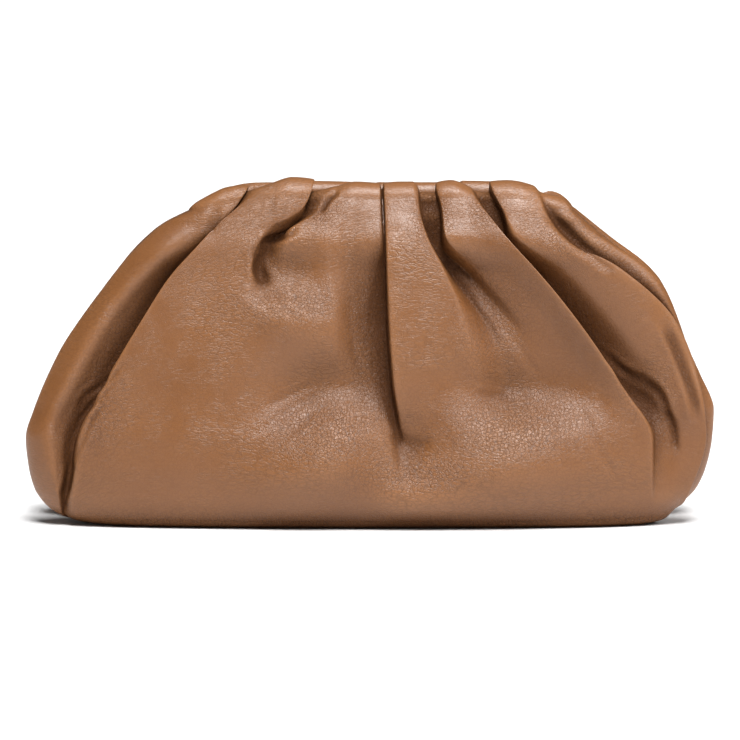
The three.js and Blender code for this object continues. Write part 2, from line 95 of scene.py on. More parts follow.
# The pleats: name, place along the bag at each of LEVELS in hundredths of WIDTH / 2, and rise there in
# millimetres out of the smooth form.
LEVELS = (1.0, 0.94, 0.87, 0.77, 0.62, 0.45, 0.27, 0.08)
FRONT_PLEATS = [
    ("left_roll", (-42, -50, -58, -67, -79, -88, -95, -91), (3, 2.5, 2, 1.5, 1.5, 1.5, 1.5, 0.5)),
    ("first_rim", (-35.6, -41.2, -51, -61, -73, -82.5, -90.5, -90.5), (2, 1.4, -0.5, -2.5, -2.5, -3, -1.5, 0)),
    ("first_pocket", (-37.4, -40.8, -49.3, -58, -67, -78, -87.5, -90), (0, -0.8, -4, -6, -7, -6, -5, -2)),
    ("left_edge", (-31.5, -40, -47.5, -56, -65.5, -75, -83, -86.5), (2, 3, 3.5, 3.5, 3.5, 3, 2, 0.5)),
    ("left_panel", (-23, -28.5, -38, -42.5, -48, -55.5, -63, -67), (5, 4, 3, 2, 1.5, 1, 0.5, 0)),
    ("second_rim", (-16.5, -20, -31.5, -35, -38, -42.5, -47, -50), (4, 3, 2, 1.5, 1.5, 1, 0.5, 0)),
    (
        "second_pocket",
        (-18.5, -19.5, -28.5, -32, -29, -31, -33.5, -35),
        (0, -0.8, -3.5, -2.5, 1.5, 0.5, 0.5, 0),
    ),
    ("third_edge", (-10, -14.5, -23.5, -25, -20.5, -20.5, -22, -23.5), (2, 2.5, 2.5, -0.5, 1, -0.5, 1, 0)),
    ("third_crest", (-4.5, -7.5, -14, -13, -11.5, -11.5, -11.5, -10), (3.5, 3.5, 3, 1, 0.5, -2, 2, 0)),
    ("middle_hollow", (0.5, -1, -4, -5.5, -5.5, -4, -1, 2.5), (3.2, 3, 1.5, -2, -4, -5, -0.5, 0)),
    ("middle_shelf", (2.6, 2.9, 3.1, 2.3, 2.3, 3.5, 6, 7.5), (3, 2.5, 1.5, -3.5, -7, -7, -3, 0)),
    ("middle_crease", (3.2, 3.5, 3.8, 4, 4.4, 5.6, 8, 9.5), (1, 0.5, 0, -4.5, -7.5, -7.5, -4.5, 0)),
    ("tongue_edge", (3.9, 4.2, 4.5, 4.8, 5.4, 6.7, 9.6, 11), (3, 3, 3, 2.5, 1.5, 0, -4, 0)),
    ("tongue", (8.8, 9, 9.6, 11, 12.3, 12.6, 13.2, 13.7), (3.5, 3.5, 3.5, 3, 2, 0.5, -3, 0)),
    ("tongue_side", (12, 12.6, 13.5, 17, 20.5, 19, 18, 20.5), (3.5, 3.5, 3.5, 3, 1.5, 0.3, -1.2, 0)),
    ("tongue_fall", (13.5, 14, 15.8, 20.8, 26.5, 29.5, 27, 29), (2.5, 3, 3, 2.5, 0.8, 0.3, 0.2, 0)),
    ("third_floor", (14.6, 15.2, 17.8, 24, 34.5, 40.5, 38, 39.5), (0, -0.8, -6, -7.5, -6, -4, 1, 0)),
    ("third_bank", (18.7, 20, 20.5, 28.7, 40.5, 48, 51, 52.5), (0, -0.8, -5, -7.5, -6, -3.5, 2, 0)),
    ("fifth_edge", (19, 20.8, 21.6, 31.6, 44.5, 54.5, 60, 64.5), (3, 3, 2.5, -4, -4, -2.5, 2, 0)),
    ("fifth_crest", (23.5, 25.7, 30.5, 39.5, 51.5, 63, 71, 73), (4, 3.5, 2.5, 0, -0.5, 0, 1.5, 0)),
    ("long_edge", (28.7, 32.7, 38, 47, 58.7, 70.2, 80.6, 81), (2, 3, 3.5, 4.5, 5, 4.2, 1.5, 0)),
    ("long_floor", (30.7, 34.2, 38.6, 48.2, 60.6, 72.4, 83.8, 83), (0.5, -0.5, -4, -7.5, -9.5, -8, -3.4, 0)),
    ("long_bank", (34.5, 37.7, 39.5, 50.5, 63.8, 77, 88, 85.5), (0, -0.8, -3, -5.5, -7.5, -6.5, -3.6, 0)),
    ("sixth_edge", (34.8, 38.3, 41.5, 57, 71.5, 84.5, 92, 88), (3.5, 3.5, 2.8, 0, -1.5, -2, -1.8, 0)),
    ("sixth_crest", (41, 45.3, 50.3, 65.8, 81.3, 91.2, 96, 90.5), (4, 4, 3.5, 2.5, 2, 1, 1, 0)),
    ("right_edge", (47, 51.2, 56.5, 71.3, 86.8, 94, 97, 92), (3.5, 3.5, 3.5, 3.5, 3, 2, 1.5, 0.5)),
    ("shoulder_crease", (49.7, 54, 60, 73.7, 87.6, 95, 97.5, 92.5), (2, 1, 0.2, -0.6, -0.4, 0.5, 0.6, 0)),
    ("right_shoulder", (55.5, 59.5, 66.5, 79.5, 88.5, 96, 98, 93), (2, 2, 2, 1.5, 1, 0, 0, 0)),
]
BACK_PLEATS = [
    ("back_right_roll", (55, 61, 68, 79, 88, 95, 97, 91), (3, 3, 3, 2.5, 2, 1.5, 1.5, 0.5)),
    ("back_right_groove", (44, 48, 54, 64, 74, 82, 86, 84), (0, -0.8, -3.5, -4.5, -5, -4.5, -3, -1)),
    ("back_right_edge", (41, 45, 51, 60, 69, 76, 80, 80), (3, 3, 3, 3.5, 3.5, 3, 2, 0.5)),
    ("back_right_fall", (27, 28, 30, 34, 41, 49, 56, 58), (3.5, 3, 3, 2, 1.5, 1, 0, 0)),
    ("back_right_crease", (24, 23, 24, 27, 34, 42, 49, 52), (0, -0.8, -4, -5.5, -5, -3, -1, 0)),
    ("back_middle_right", (20, 19, 18, 18, 19, 22, 26, 28), (3, 3, 3, 2.5, 2, 1.5, 1, 0)),
    ("back_middle_left", (2, 0, -3, -7, -10, -11, -12, -12), (3, 3, 3, 2.5, 2, 1.5, 1, 0)),
    ("back_middle_crease", (0, -3, -7, -13, -20, -25, -28, -29), (0, -0.8, -4.5, -6, -6, -5, -2.5, 0)),
    ("back_left_fall", (-4, -7, -12, -19, -28, -35, -40, -42), (3, 3, 3, 2, 2, 2, 1, 0)),
    ("back_left_swell", (-20, -23, -29, -37, -46, -54, -60, -62), (3.5, 3, 3, 2.5, 2, 1.5, 1, 0)),
    ("back_left_crease", (-24, -27, -34, -43, -54, -63, -70, -72), (0, -0.8, -4, -5, -5.5, -4.5, -2.5, -0.5)),
    ("back_left_edge", (-27, -31, -39, -49, -61, -71, -78, -79), (3, 3, 3, 3.5, 3.5, 3, 2, 0.5)),
    ("back_left_roll", (-44, -52, -61, -71, -84, -93, -97, -91), (2.5, 2.5, 2.5, 2, 1.5, 1.5, 1.5, 0.5)),
]

# Soft dents and swells of the front: name, x as a share of WIDTH / 2, z as a share of HEIGHT, half width
# and half height in millimetres, tilt in degrees, rise in millimetres.
FRONT_DENTS = [
    ("hook_dent", -0.205, 0.79, 9, 7, 30, -1.5),
    ("chest_swell", -0.24, 0.63, 15, 8, -25, 2),
    ("belly_waist_left", -0.17, 0.42, 17, 10, 14, -4.2),
    ("belly_swell_left", -0.17, 0.17, 20, 11, 12, 4.7),
    ("tongue_end", 0.125, 0.27, 10, 7, 0, -1.4),
    ("belly_swell_middle", 0.13, 0.105, 17, 6.5, 0, 2.8),
    ("belly_waist_right", 0.41, 0.42, 21, 10, -4, -4.4),
    ("belly_swell_right", 0.4, 0.165, 23, 11, 4, 4.6),
    ("hip_dent", 0.8, 0.41, 7, 6, -50, -2.5),
]


def smooth_through(xs, ys, at):
    """A smooth curve through (xs, ys) that never overshoots; ys may hold many curves, one for each row."""
    xs = np.asarray(xs, float)
    ys = np.asarray(ys, float)
    slope = np.diff(ys) / np.diff(xs)
    before, after = slope[..., :-1], slope[..., 1:]
    same = before * after > 0
    mean = 2 * before * after / np.where(same, before + after, 1)
    tangent = np.concatenate([slope[..., :1], np.where(same, mean, 0), slope[..., -1:]], axis=-1)
    at = np.clip(at, xs[0], xs[-1])
    i = np.clip(np.searchsorted(xs, at, side="right") - 1, 0, len(xs) - 2)
    span = xs[i + 1] - xs[i]
    t = (at - xs[i]) / span
    rest = 1 - t
    return (
        ys[..., i] * (1 + 2 * t) * rest**2
        + ys[..., i + 1] * t**2 * (3 - 2 * t)
        + span * (tangent[..., i] * t * rest**2 - tangent[..., i + 1] * t**2 * rest)
    )


def smooth_step(t):
    s = np.clip(t, 0, 1)
    return s * s * (3 - 2 * s)


# Rings are counted by station: whole numbers are the rows of SECTIONS, then the neck, the inner side of
# the lips and the end of the turned-in leather.
NECK_STATION = len(SECTIONS)
INNER_STATION = NECK_STATION + 1
END_STATION = NECK_STATION + 2
MOUTH_LEFT = MOUTH_LENGTH / 2 - MOUTH_SHIFT
MOUTH_RIGHT = MOUTH_LENGTH / 2 + MOUTH_SHIFT
GUSSET_SAMPLES = np.linspace(0.4, 1.0, 61)


def sideways(gusset, round_at):
    """Reach along the bag at a place round a ring, with the fold in the side taken away."""
    to_side = np.minimum(np.abs(np.abs(round_at) - 1), np.abs(round_at - 3))
    return np.sin(round_at * math.pi / 2) * (1 - gusset * np.exp(-((to_side / GUSSET_SPREAD) ** 2)))


def ring_at(stations):
    """The smooth ring at each station, as a dict of arrays."""
    scale = {"height": NECK, "left": WIDTH / 2, "right": WIDTH / 2, "front": DEPTH / 2, "back": DEPTH / 2}
    at_neck = {
        "height": NECK,
        "left": MOUTH_LEFT,
        "right": MOUTH_RIGHT,
        "front": LIP_HALF,
        "back": LIP_HALF,
        "gusset": 0,
        "boxy": MOUTH_BOXY,
    }
    ring = {}
    for i, name in enumerate(SECTION_COLUMNS):
        values = [row[i] * scale.get(name, 1) for row in SECTIONS] + [at_neck[name]]
        ring[name] = smooth_through(range(NECK_STATION + 1), values, stations)
    past = stations > NECK_STATION
    turn = np.clip(stations - NECK_STATION, 0, 1) * math.pi
    drop = np.maximum(0, stations - INNER_STATION) * TURN_IN
    inward = LIP_ROLL * (1 - np.cos(turn))
    end_inward = END_ROLL * (1 - np.cos(turn))
    ring["height"] = np.where(past, NECK + LIP_ROLL * np.sin(turn) - drop, ring["height"])
    ring["left"] = np.where(past, MOUTH_LEFT - end_inward, ring["left"])
    ring["right"] = np.where(past, MOUTH_RIGHT - end_inward, ring["right"])
    for side in ("front", "back"):
        ring[side] = np.where(past, LIP_HALF - inward, ring[side])
    ring["pleating"] = np.where(past, smooth_step((math.pi - turn) / (math.pi / 2)), 1.0)
    widest = sideways(ring["gusset"][:, None], GUSSET_SAMPLES[None, :]).max(axis=1)
    ring["centre"] = (ring["right"] - ring["left"]) / 2
    ring["half"] = (ring["right"] + ring["left"]) / 2 / widest
    return {name: np.asarray(value)[:, None] for name, value in ring.items()}


def end_drop(x, height):
    """How much lower the lips are near their ends."""
    to_end = np.minimum(x + MOUTH_LEFT, MOUTH_RIGHT - x)
    reached = smooth_step((height / HEIGHT - END_DROP_FROM) / (1 - END_DROP_FROM))
    return END_DROP * smooth_step(1 - to_end / END_DROP_SPAN) * reached


def ring_points(ring, round_at):
    """Points of the smooth rings. round_at is -1 at the left side, 0 in front, 1 right and 2 behind."""
    forward = np.cos(round_at * math.pi / 2)
    reach = np.where(forward > 0, ring["front"], ring["back"])
    x = ring["centre"] + ring["half"] * sideways(ring["gusset"], round_at)
    y = -np.sign(forward) * np.sqrt(1 - (1 - np.abs(forward)) ** ring["boxy"]) * reach
    return np.stack([x, y, ring["height"] - end_drop(x, ring["height"])], axis=-1)


def round_of(x, ring, back):
    """The place round a ring of a point x along the bag, drawn together near the sides."""
    share = (x - ring["centre"]) / ring["half"]
    past = np.maximum(0, np.abs(share) - NEAR_SIDE) / (1 - NEAR_SIDE)
    kept = np.minimum(np.abs(share), NEAR_SIDE) + (1 - NEAR_SIDE) * np.tanh(past)
    found = np.sign(share) * 2 * np.arcsin(kept) / math.pi
    return 2 - found if back else found


LINE_NAMES = (
    ["left_side"]
    + [row[0] for row in FRONT_PLEATS]
    + ["right_side"]
    + [row[0] for row in BACK_PLEATS]
    + ["left_side_again"]
)


def pleats_at(ring):
    """Where the pleat lines run at each ring and how far the leather stands out at them."""
    level = ring["height"] / HEIGHT
    seen = np.where(ring["pleating"] < 1, 1.0, level)
    fade = ring["pleating"] * smooth_step(level / FLOOR_FADE)
    upwards = LEVELS[::-1]
    rounds, rises = [], []

    def side(place):
        rounds.append(np.full_like(level, place))
        rises.append(np.zeros_like(level))

    def pleats(rows, back):
        for _, xs, rise in rows:
            x = smooth_through(upwards, np.array(xs[::-1]) / 100 * WIDTH / 2, seen[:, 0])[:, None]
            rounds.append(round_of(x, ring, back))
            rises.append(smooth_through(upwards, rise[::-1], seen[:, 0])[:, None] * fade)

    side(-1)
    pleats(FRONT_PLEATS, False)
    side(1)
    pleats(BACK_PLEATS, True)
    side(3)
    rounds = np.concatenate(rounds, axis=1)
    flat = np.sort(rounds, axis=1)
    return flat + (rounds - flat) * ring["pleating"], np.concatenate(rises, axis=1), fade


def dents_at(points):
    """Rise of the soft dents and swells of the front."""
    total = np.zeros(points.shape[:-1])
    for _, x, z, wide, tall, tilt, rise in FRONT_DENTS:
        dx = points[..., 0] - x * WIDTH / 2
        dz = points[..., 2] - z * HEIGHT
        turn = math.radians(tilt)
        along = (dx * math.cos(turn) + dz * math.sin(turn)) / wide
        over = (dz * math.cos(turn) - dx * math.sin(turn)) / tall
        total += rise * np.exp(-(along**2 + over**2))
    return total


def smooth_normals(stations, round_at):
    """Outward directions of the smooth form."""
    nudge = 0.01
    ring = ring_at(stations)
    across = ring_points(ring, round_at + nudge) - ring_points(ring, round_at - nudge)
    above = ring_points(ring_at(np.minimum(END_STATION, stations + nudge)), round_at)
    below = ring_points(ring_at(np.maximum(0, stations - nudge)), round_at)
    out = np.cross(across, above - below)
    out = eased_up(out / np.linalg.norm(out, axis=-1, keepdims=True))
    return out / np.linalg.norm(out, axis=-1, keepdims=True)


def eased_up(values):
    """Directions smoothed over a few rows, so the crests run onto the lips without a step."""
    offsets = np.arange(-EASE_ROWS, EASE_ROWS + 1)
    weights = np.exp(-0.5 * (2 * offsets / EASE_ROWS) ** 2)
    padded = np.concatenate([values[:1]] * EASE_ROWS + [values] + [values[-1:]] * EASE_ROWS)
    return sum(w * padded[i : i + len(values)] for i, w in enumerate(weights / weights.sum()))


def pleated_grid(stations, columns):
    """The leather's outer face: a point for each station and column, columns counted in pleat lines."""
    ring = ring_at(stations)
    rounds, rises, fade = pleats_at(ring)
    lines = np.arange(rounds.shape[1])
    round_at = smooth_through(lines, rounds, columns)
    rise = smooth_through(lines, rises, columns)
    base = ring_points(ring, round_at)
    front = (round_at > -1) & (round_at < 1)
    rise = rise + np.where(front, dents_at(base) * fade, 0)
    out = smooth_normals(stations, round_at)
    points = base + out * rise[..., None]
    fine = np.where(front & (ring["pleating"] == 1), crease_rise(points) * fade, 0)
    return points + grid_normals(points) * fine[..., None], front


def wall_rows():
    """Stations of the rows: evenly spaced up the wall, then over the lips and down inside."""
    fine = np.linspace(0, NECK_STATION, ROW_TRIALS)
    trial = ring_at(fine)
    reach = np.stack([trial["height"][:, 0], trial["front"][:, 0]], axis=-1)
    run = np.concatenate([[0], np.cumsum(np.linalg.norm(np.diff(reach, axis=0), axis=1))])
    wall = np.interp(np.linspace(0, run[-1], WALL_ROWS + 1), run, fine)
    roll = NECK_STATION + np.arange(1, ROLL_ROWS + 1) / ROLL_ROWS
    turn = INNER_STATION + np.arange(1, TURN_ROWS + 1) / TURN_ROWS
    return np.concatenate([wall, roll, turn])


def pleat_columns():
    """Places of the columns, counted in pleat lines, with about the same leather between them."""
    stations = np.linspace(0.5, NECK_STATION, SPACING_TRIALS)
    lines = np.arange(len(LINE_NAMES))
    points, _ = pleated_grid(stations, lines)
    widths = np.linalg.norm(np.diff(points, axis=1), axis=-1)
    last_front = LINE_NAMES.index("right_side")
    columns = []
    for i, width in enumerate(widths.max(axis=0) * 0.5 + widths.mean(axis=0) * 0.5):
        spacing = FRONT_SPACING if i < last_front else BACK_SPACING
        steps = max(2, round(width / spacing))
        columns.extend(i + k / steps for k in range(steps))
    extra = len(columns) % INNER_STEP
    return np.array(columns[: len(columns) - extra] if extra else columns)

# Fine creases of the front: name, half width and depth in millimetres, then the places x, z they run through.
FRONT_CREASES = [
    ("hook_edge", 1.1, 0.9, ((-23.1, 97.5), (-26.4, 95.6), (-30.4, 94.1), (-34.2, 93.2), (-36.8, 91.4))),
    ("hook_crease", 1.4, 0.8, ((-34.5, 93.2), (-37.1, 89.1), (-37.1, 85.2), (-35.5, 81.9), (-32.2, 78.8))),
    ("pocket_crease", 0.8, 0.8, ((-10.1, 109.6), (-14.0, 106.4), (-16.6, 101.7))),
    ("roll_wrinkle", 1.4, 0.5, ((-50.7, 104.5), (-51.3, 100.6), (-52.6, 96.1))),
    ("pleat_wrinkle_left", 1.2, 0.4, ((-31.7, 108.1), (-32.3, 102.7), (-31.3, 96.1))),
    ("pleat_wrinkle_right", 1.2, 0.4, ((-28.7, 106.5), (-29.3, 101.4), (-30.7, 96.1))),
    ("tongue_crescent", 2.0, 0.45, ((6.8, 32.6), (9.4, 29.3), (13.0, 27.3), (16.9, 27.9), (20.4, 30.7))),
    ("tongue_ring", 1.3, 0.25, ((4.9, 28.3), (8.8, 24.8), (13.6, 23.2), (19.2, 24.2), (24.3, 27.6))),
    ("belly_crease", 1.1, 0.3, ((66.5, 41.6), (70.9, 34.4), (74.5, 26.2), (78.2, 19.6), (80.9, 13.6))),
    ("tongue_faint", 0.9, 0.25, ((19.5, 65.6), (18.1, 60.2), (18.1, 54.7))),
    ("shelf_crease", 1.0, 0.25, ((33.4, 44.7), (38.5, 43.4), (45.7, 43.0))),
    ("notch", 1.3, 0.9, ((94.2, 70), (96.6, 64.5), (99.6, 57.5), (102.6, 49.5), (105.4, 41), (106.8, 32))),
    ("notch_wrinkle", 1.0, 0.12, ((84.4, 64.1), (87.8, 68.9), (91.7, 70.2))),
    ("notch_wrinkle_low", 1.0, 0.12, ((85.5, 60.1), (88.5, 64.2), (93.0, 66.9))),
    ("left_slit", 1.2, 0.7, ((-100.9, 8.5), (-98.6, 14.8), (-96.9, 22.7))),
    ("shoulder_upper", 1.6, 0.5, ((55.3, 105.5), (60.5, 99.3), (66.7, 93.4), (73.7, 87.8))),
    ("shoulder_lower", 1.6, 0.6, ((57.9, 102.6), (65.1, 94.7), (74.6, 86.5), (81.8, 82.0))),
    ("diagonal_first", 1.1, 0.21, ((-49.5, 22.5), (-42.3, 24.5), (-35.2, 28.5), (-27.8, 33.6))),
    ("diagonal_second", 1.1, 0.24, ((-46.2, 19.9), (-39.1, 22.6), (-31, 27.9), (-22.9, 34.9), (-14.9, 41.2))),
    ("diagonal_third", 1.1, 0.21, ((-39.1, 29.7), (-29.4, 36.8), (-21.3, 41.9), (-13.3, 45.0))),
    ("diagonal_fourth", 1.1, 0.18, ((-35.2, 39.9), (-26.2, 43.8), (-17.1, 48.2))),
    ("hollow_first", 1.1, 0.21, ((-9.1, 101.7), (-7.8, 92.1), (-8.1, 82.3))),
    ("hollow_second", 1.1, 0.21, ((-6.2, 99.5), (-5.2, 90.4), (-3.6, 82.2), (-4.2, 70.9))),
    ("hollow_third", 1.0, 0.21, ((-1.6, 83.9), (-2.9, 74.1), (-2.3, 62.9), (-0.3, 53.2))),
    ("hollow_fourth", 1.0, 0.21, ((1.0, 78.9), (0.0, 69.2), (1.0, 58.0), (3.0, 45.2))),
    ("hollow_fifth", 1.1, 0.21, ((-6.8, 64.6), (-4.9, 56.5), (-2.2, 46.9), (0.3, 36.0))),
    ("chest_first", 1.1, 0.21, ((-43.2, 77.6), (-36.7, 74.5), (-30.7, 69.5))),
    ("chest_second", 1.1, 0.21, ((-35.4, 77.5), (-28.8, 73.2), (-23.0, 66.3))),
    ("chest_third", 1.1, 0.18, ((-27.9, 77.0), (-22.0, 72.6), (-17.1, 68.8))),
    ("left_floor_first", 0.9, 0.45, ((-79.5, 54.4), (-87.3, 46.5), (-93.8, 42.0), (-96.4, 35.5))),
    ("left_floor_second", 0.9, 0.45, ((-81.4, 49.3), (-87.9, 42.8), (-94.5, 35.4), (-97.7, 26.4))),
    ("left_floor_third", 0.9, 0.45, ((-85.3, 42.1), (-90.6, 35.6), (-94.6, 27.0), (-97.6, 18.8))),
    ("long_floor_first", 1.0, 0.6, ((74.2, 58.5), (82.2, 51.5), (90.2, 47.6), (94.7, 43.7), (97.2, 37.3))),
    ("long_floor_second", 1.0, 0.5, ((78.1, 53.3), (86.9, 47.6), (92.1, 45.0), (95.9, 39.9), (97.7, 31.6))),
    ("long_floor_third", 1.0, 0.5, ((95.9, 39.5), (98.4, 33.2), (99.7, 23.5))),
    ("third_valley_first", 1.1, 0.22, ((25.9, 82.9), (31.8, 76.4), (36.9, 68.7), (42.1, 59.5))),
    ("third_valley_second", 1.1, 0.22, ((24.6, 86.1), (32.4, 73.9), (38.2, 63.6))),
    ("third_valley_third", 1.2, 0.2, ((31.1, 78.7), (39.6, 70.7), (48.6, 58.0), (56.5, 46.9))),
]
# Areas where the leather is pebbled: name, x and z of the middle, half width and height, how strongly.
PEBBLED = [
    ("belly_left", -14, 33, 22, 12, 1.0),
    ("belly_middle", 14, 19, 26, 7, 0.9),
    ("belly_right", 48, 34, 28, 12, 1.0),
    ("valley", -2, 62, 8, 30, 0.9),
    ("chest", -26, 73, 18, 7, 0.8),
    ("third_valley", 40, 68, 12, 22, 0.8),
    ("hook", -33, 88, 8, 9, 0.9),
    ("left_floor", -90, 38, 9, 16, 0.8),
    ("long_floor", 90, 45, 10, 10, 0.9),
    ("shoulder", 64, 95, 12, 9, 0.7),
    ("second_pocket", -17, 104, 7, 6, 1.0),
    ("third_pocket", 20, 100, 6, 9, 1.0),
    ("fourth_pocket", 38, 104, 6, 6, 1.0),
]
# The profile of a crease: its shoulders' height as a share of the depth, how far out they stand and how wide
# they are in half widths, over which share of its run it fades, and how finely it is followed.
CREASE_SHOULDER = 0.35
SHOULDER_AT = 2.0
SHOULDER_WIDTH = 0.9
CREASE_FADE = 0.25
CREASE_REACH = 4
CREASE_STEPS = 10


def crease_rise(points):
    """Rise of the fine creases: a rounded V with a low shoulder each side, fading at its ends."""
    x, z = points[..., 0], points[..., 2]
    total = np.zeros(x.shape)
    for _, half_width, depth, places in FRONT_CREASES:
        places = np.array(places)
        run = np.concatenate([[0], np.cumsum(np.linalg.norm(np.diff(places, axis=0), axis=1))])
        at = np.linspace(0, run[-1], CREASE_STEPS * len(places))
        path = np.stack([smooth_through(run, places[:, i], at) for i in range(2)], axis=-1)
        reach = CREASE_REACH * half_width
        near = (
            (x > path[:, 0].min() - reach)
            & (x < path[:, 0].max() + reach)
            & (z > path[:, 1].min() - reach)
            & (z < path[:, 1].max() + reach)
        )
        gap = np.hypot(x[near][:, None] - path[None, :, 0], z[near][:, None] - path[None, :, 1])
        closest = gap.argmin(axis=1)
        off = gap.min(axis=1) / half_width
        share = at[closest] / run[-1]
        fade = smooth_step(np.minimum(share, 1 - share) / CREASE_FADE)
        shoulder = CREASE_SHOULDER * np.exp(-(((off - SHOULDER_AT) / SHOULDER_WIDTH) ** 2))
        profile = shoulder - np.exp(-(off**2))
        total[near] += depth * fade * profile
    return total


def outer_face():
    """The outer face of the leather as a grid of points, and which of them are in front."""
    outer, front = pleated_grid(wall_rows(), pleat_columns())
    outer[0, :, 2] = 0
    return outer, front


def grid_normals(grid):
    """Outward directions at the points of a grid that closes round the bag."""
    across = np.roll(grid, -1, axis=1) - np.roll(grid, 1, axis=1)
    up = np.empty_like(grid)
    up[1:-1] = grid[2:] - grid[:-2]
    up[0] = grid[1] - grid[0]
    up[-1] = grid[-1] - grid[-2]
    out = np.cross(across, up)
    return out / np.maximum(np.linalg.norm(out, axis=-1, keepdims=True), 1e-9)


def blurred(values, across, up):
    """values smoothed by Gaussians of these widths, in cells, round the bag and up it."""

    def kernel(width):
        reach = max(1, int(3 * width))
        weights = np.exp(-0.5 * (np.arange(-reach, reach + 1) / width) ** 2)
        return weights / weights.sum(), reach

    weights, reach = kernel(across)
    wrapped = np.concatenate([values[:, -reach:], values, values[:, :reach]], axis=1)
    result = sum(w * wrapped[:, i : i + values.shape[1]] for i, w in enumerate(weights))
    weights, reach = kernel(up)
    padded = np.concatenate([result[:1]] * reach + [result] + [result[-1:]] * reach, axis=0)
    return sum(w * padded[i : i + values.shape[0]] for i, w in enumerate(weights))


def closed_faces(rows, count, inner_rows, inner_count):
    """Faces of the skin: outer grid, inner grid, the rim between them and a fan for each side of the base."""
    faces = []
    for r in range(rows - 1):
        for c in range(count):
            n = (c + 1) % count
            faces.append((r * count + c, r * count + n, (r + 1) * count + n, (r + 1) * count + c))
    start = rows * count
    for r in range(inner_rows - 1):
        for c in range(inner_count):
            n = (c + 1) % inner_count
            a, b = start + r * inner_count + c, start + r * inner_count + n
            faces.append((a, a + inner_count, b + inner_count, b))
    top = (rows - 1) * count
    inner_top = start + (inner_rows - 1) * inner_count
    for c in range(inner_count):
        n = (c + 1) % inner_count
        run = [top + (c * INNER_STEP + k) % count for k in range(INNER_STEP + 1)]
        faces.append(tuple(run) + (inner_top + n, inner_top + c))
    under = start + inner_rows * inner_count
    faces.extend(((c + 1) % count, c, under) for c in range(count))
    faces.extend((start + c, start + (c + 1) % inner_count, under + 1) for c in range(inner_count))
    return faces


# How the leather's shape is read for its looks: widths of the blurs in mesh cells, the ways and steps in
# which higher folds are looked for, and how far off they count, in millimetres.
RELIEF_BLUR = 4
LENGTH_BLUR = 6
SHELTER_WAYS = ((0, 1), (0, -1), (1, 0), (-1, 0), (1, 1), (1, -1), (-1, 1), (-1, -1))
SHELTER_STEPS = (1, 2, 4, 7, 11, 16, 23)
SHELTER_REACH = 28
# Painted contact shadow near the floor: how strong it is, and the height in millimetres over which it fades.
FLOOR_PAINTED_SHADOW = 0.25
FLOOR_PAINTED_SHADOW_HEIGHT = 2.8


def skin_lengths(points):
    """Run round the bag and up it of each point, in metres, so that wrinkles keep their size."""
    across = np.linalg.norm(np.diff(points, axis=1), axis=-1)
    up = np.linalg.norm(np.diff(points, axis=0), axis=-1)
    u = np.concatenate([np.zeros((len(points), 1)), np.cumsum(across, axis=1)], axis=1)
    v = np.concatenate([np.zeros((1, points.shape[1])), np.cumsum(up, axis=0)])
    middle = np.abs(points[:, : points.shape[1] * 3 // 4, 0]).argmin(axis=1)
    u = u - u[np.arange(len(u)), middle][:, None]
    return blurred(u, 1, LENGTH_BLUR) * MM, blurred(v, LENGTH_BLUR, 1) * MM


def pebbled_at(points, front):
    """How strongly the leather is pebbled, from the table of areas."""
    total = np.zeros(points.shape[:-1])
    for _, x, z, wide, tall, amount in PEBBLED:
        off = ((points[..., 0] - x) / wide) ** 2 + ((points[..., 2] - z) / tall) ** 2
        total = np.maximum(total, amount * np.exp(-off))
    return np.where(front, total, 0)


def shelter_at(points, normals):
    """How deep each point lies between the folds round it: 0 in the open, near 1 between steep walls, with a
    painted contact shadow added near the floor.
    """
    rows = np.arange(len(points))[:, None]
    columns = np.arange(points.shape[1])[None, :]
    total = np.zeros(points.shape[:-1])
    for down, across in SHELTER_WAYS:
        steepest = np.zeros(points.shape[:-1])
        for step in SHELTER_STEPS:
            seen_rows = np.clip(rows + down * step, 0, len(points) - 1)
            seen_columns = (columns + across * step) % points.shape[1]
            offset = points[seen_rows, seen_columns] - points
            length = np.linalg.norm(offset, axis=-1) + 1e-6
            steepness = (offset * normals).sum(axis=-1) / length
            steepest = np.maximum(steepest, steepness * np.exp(-length / SHELTER_REACH))
        total += steepest**2
    # Painted contact shadow: the leather next to the floor is darkened as if shaded by it.
    floor_shadow = FLOOR_PAINTED_SHADOW * np.exp(-points[..., 2] / FLOOR_PAINTED_SHADOW_HEIGHT)
    return blurred(total / len(SHELTER_WAYS), 1, 1) + floor_shadow


def leather_piece():
    """The visible leather as one closed skin: fine outer face, coarser inner face, rim and base."""
    outer, front = outer_face()
    rows, count = outer.shape[:2]
    normals = grid_normals(outer)
    inner_rows = list(range(0, rows - 1, INNER_STEP)) + [rows - 1]
    inner = (outer - normals * WALL)[inner_rows][:, ::INNER_STEP]
    inner[0, :, 2] = WALL
    base = np.array([[*BASE_MEET, 0.0], [*BASE_MEET, WALL]])
    points = np.concatenate([outer.reshape(-1, 3), inner.reshape(-1, 3), base])
    faces = closed_faces(rows, count, len(inner_rows), inner.shape[1])
    mesh = bpy.data.meshes.new("leather_skin")
    mesh.from_pydata((points * MM).tolist(), [], faces)

    run_round, run_up = skin_lengths(outer)
    # Attributes for the looks: relief and shelter drive the painted shade, and relief also drives the painted
    # highlight on crests.
    looks = {
        "relief": ((outer - blurred(outer, RELIEF_BLUR, RELIEF_BLUR)) * normals).sum(axis=-1),
        "shelter": shelter_at(outer, normals),
        "pebbled": pebbled_at(outer, front),
        "run_round": run_round,
        "run_up": run_up,
    }
    unseen = np.zeros(len(points) - rows * count)
    for name, values in looks.items():
        attribute = mesh.attributes.new(name, "FLOAT", "POINT")
        attribute.data.foreach_set("value", np.concatenate([values.ravel(), unseen]).astype(np.float32))
    mesh.shade_smooth()
    piece = bpy.data.objects.new("gathered_leather", mesh)
    bpy.context.scene.collection.objects.link(piece)
    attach(piece, "root")
    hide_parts("leather_body")
    return piece


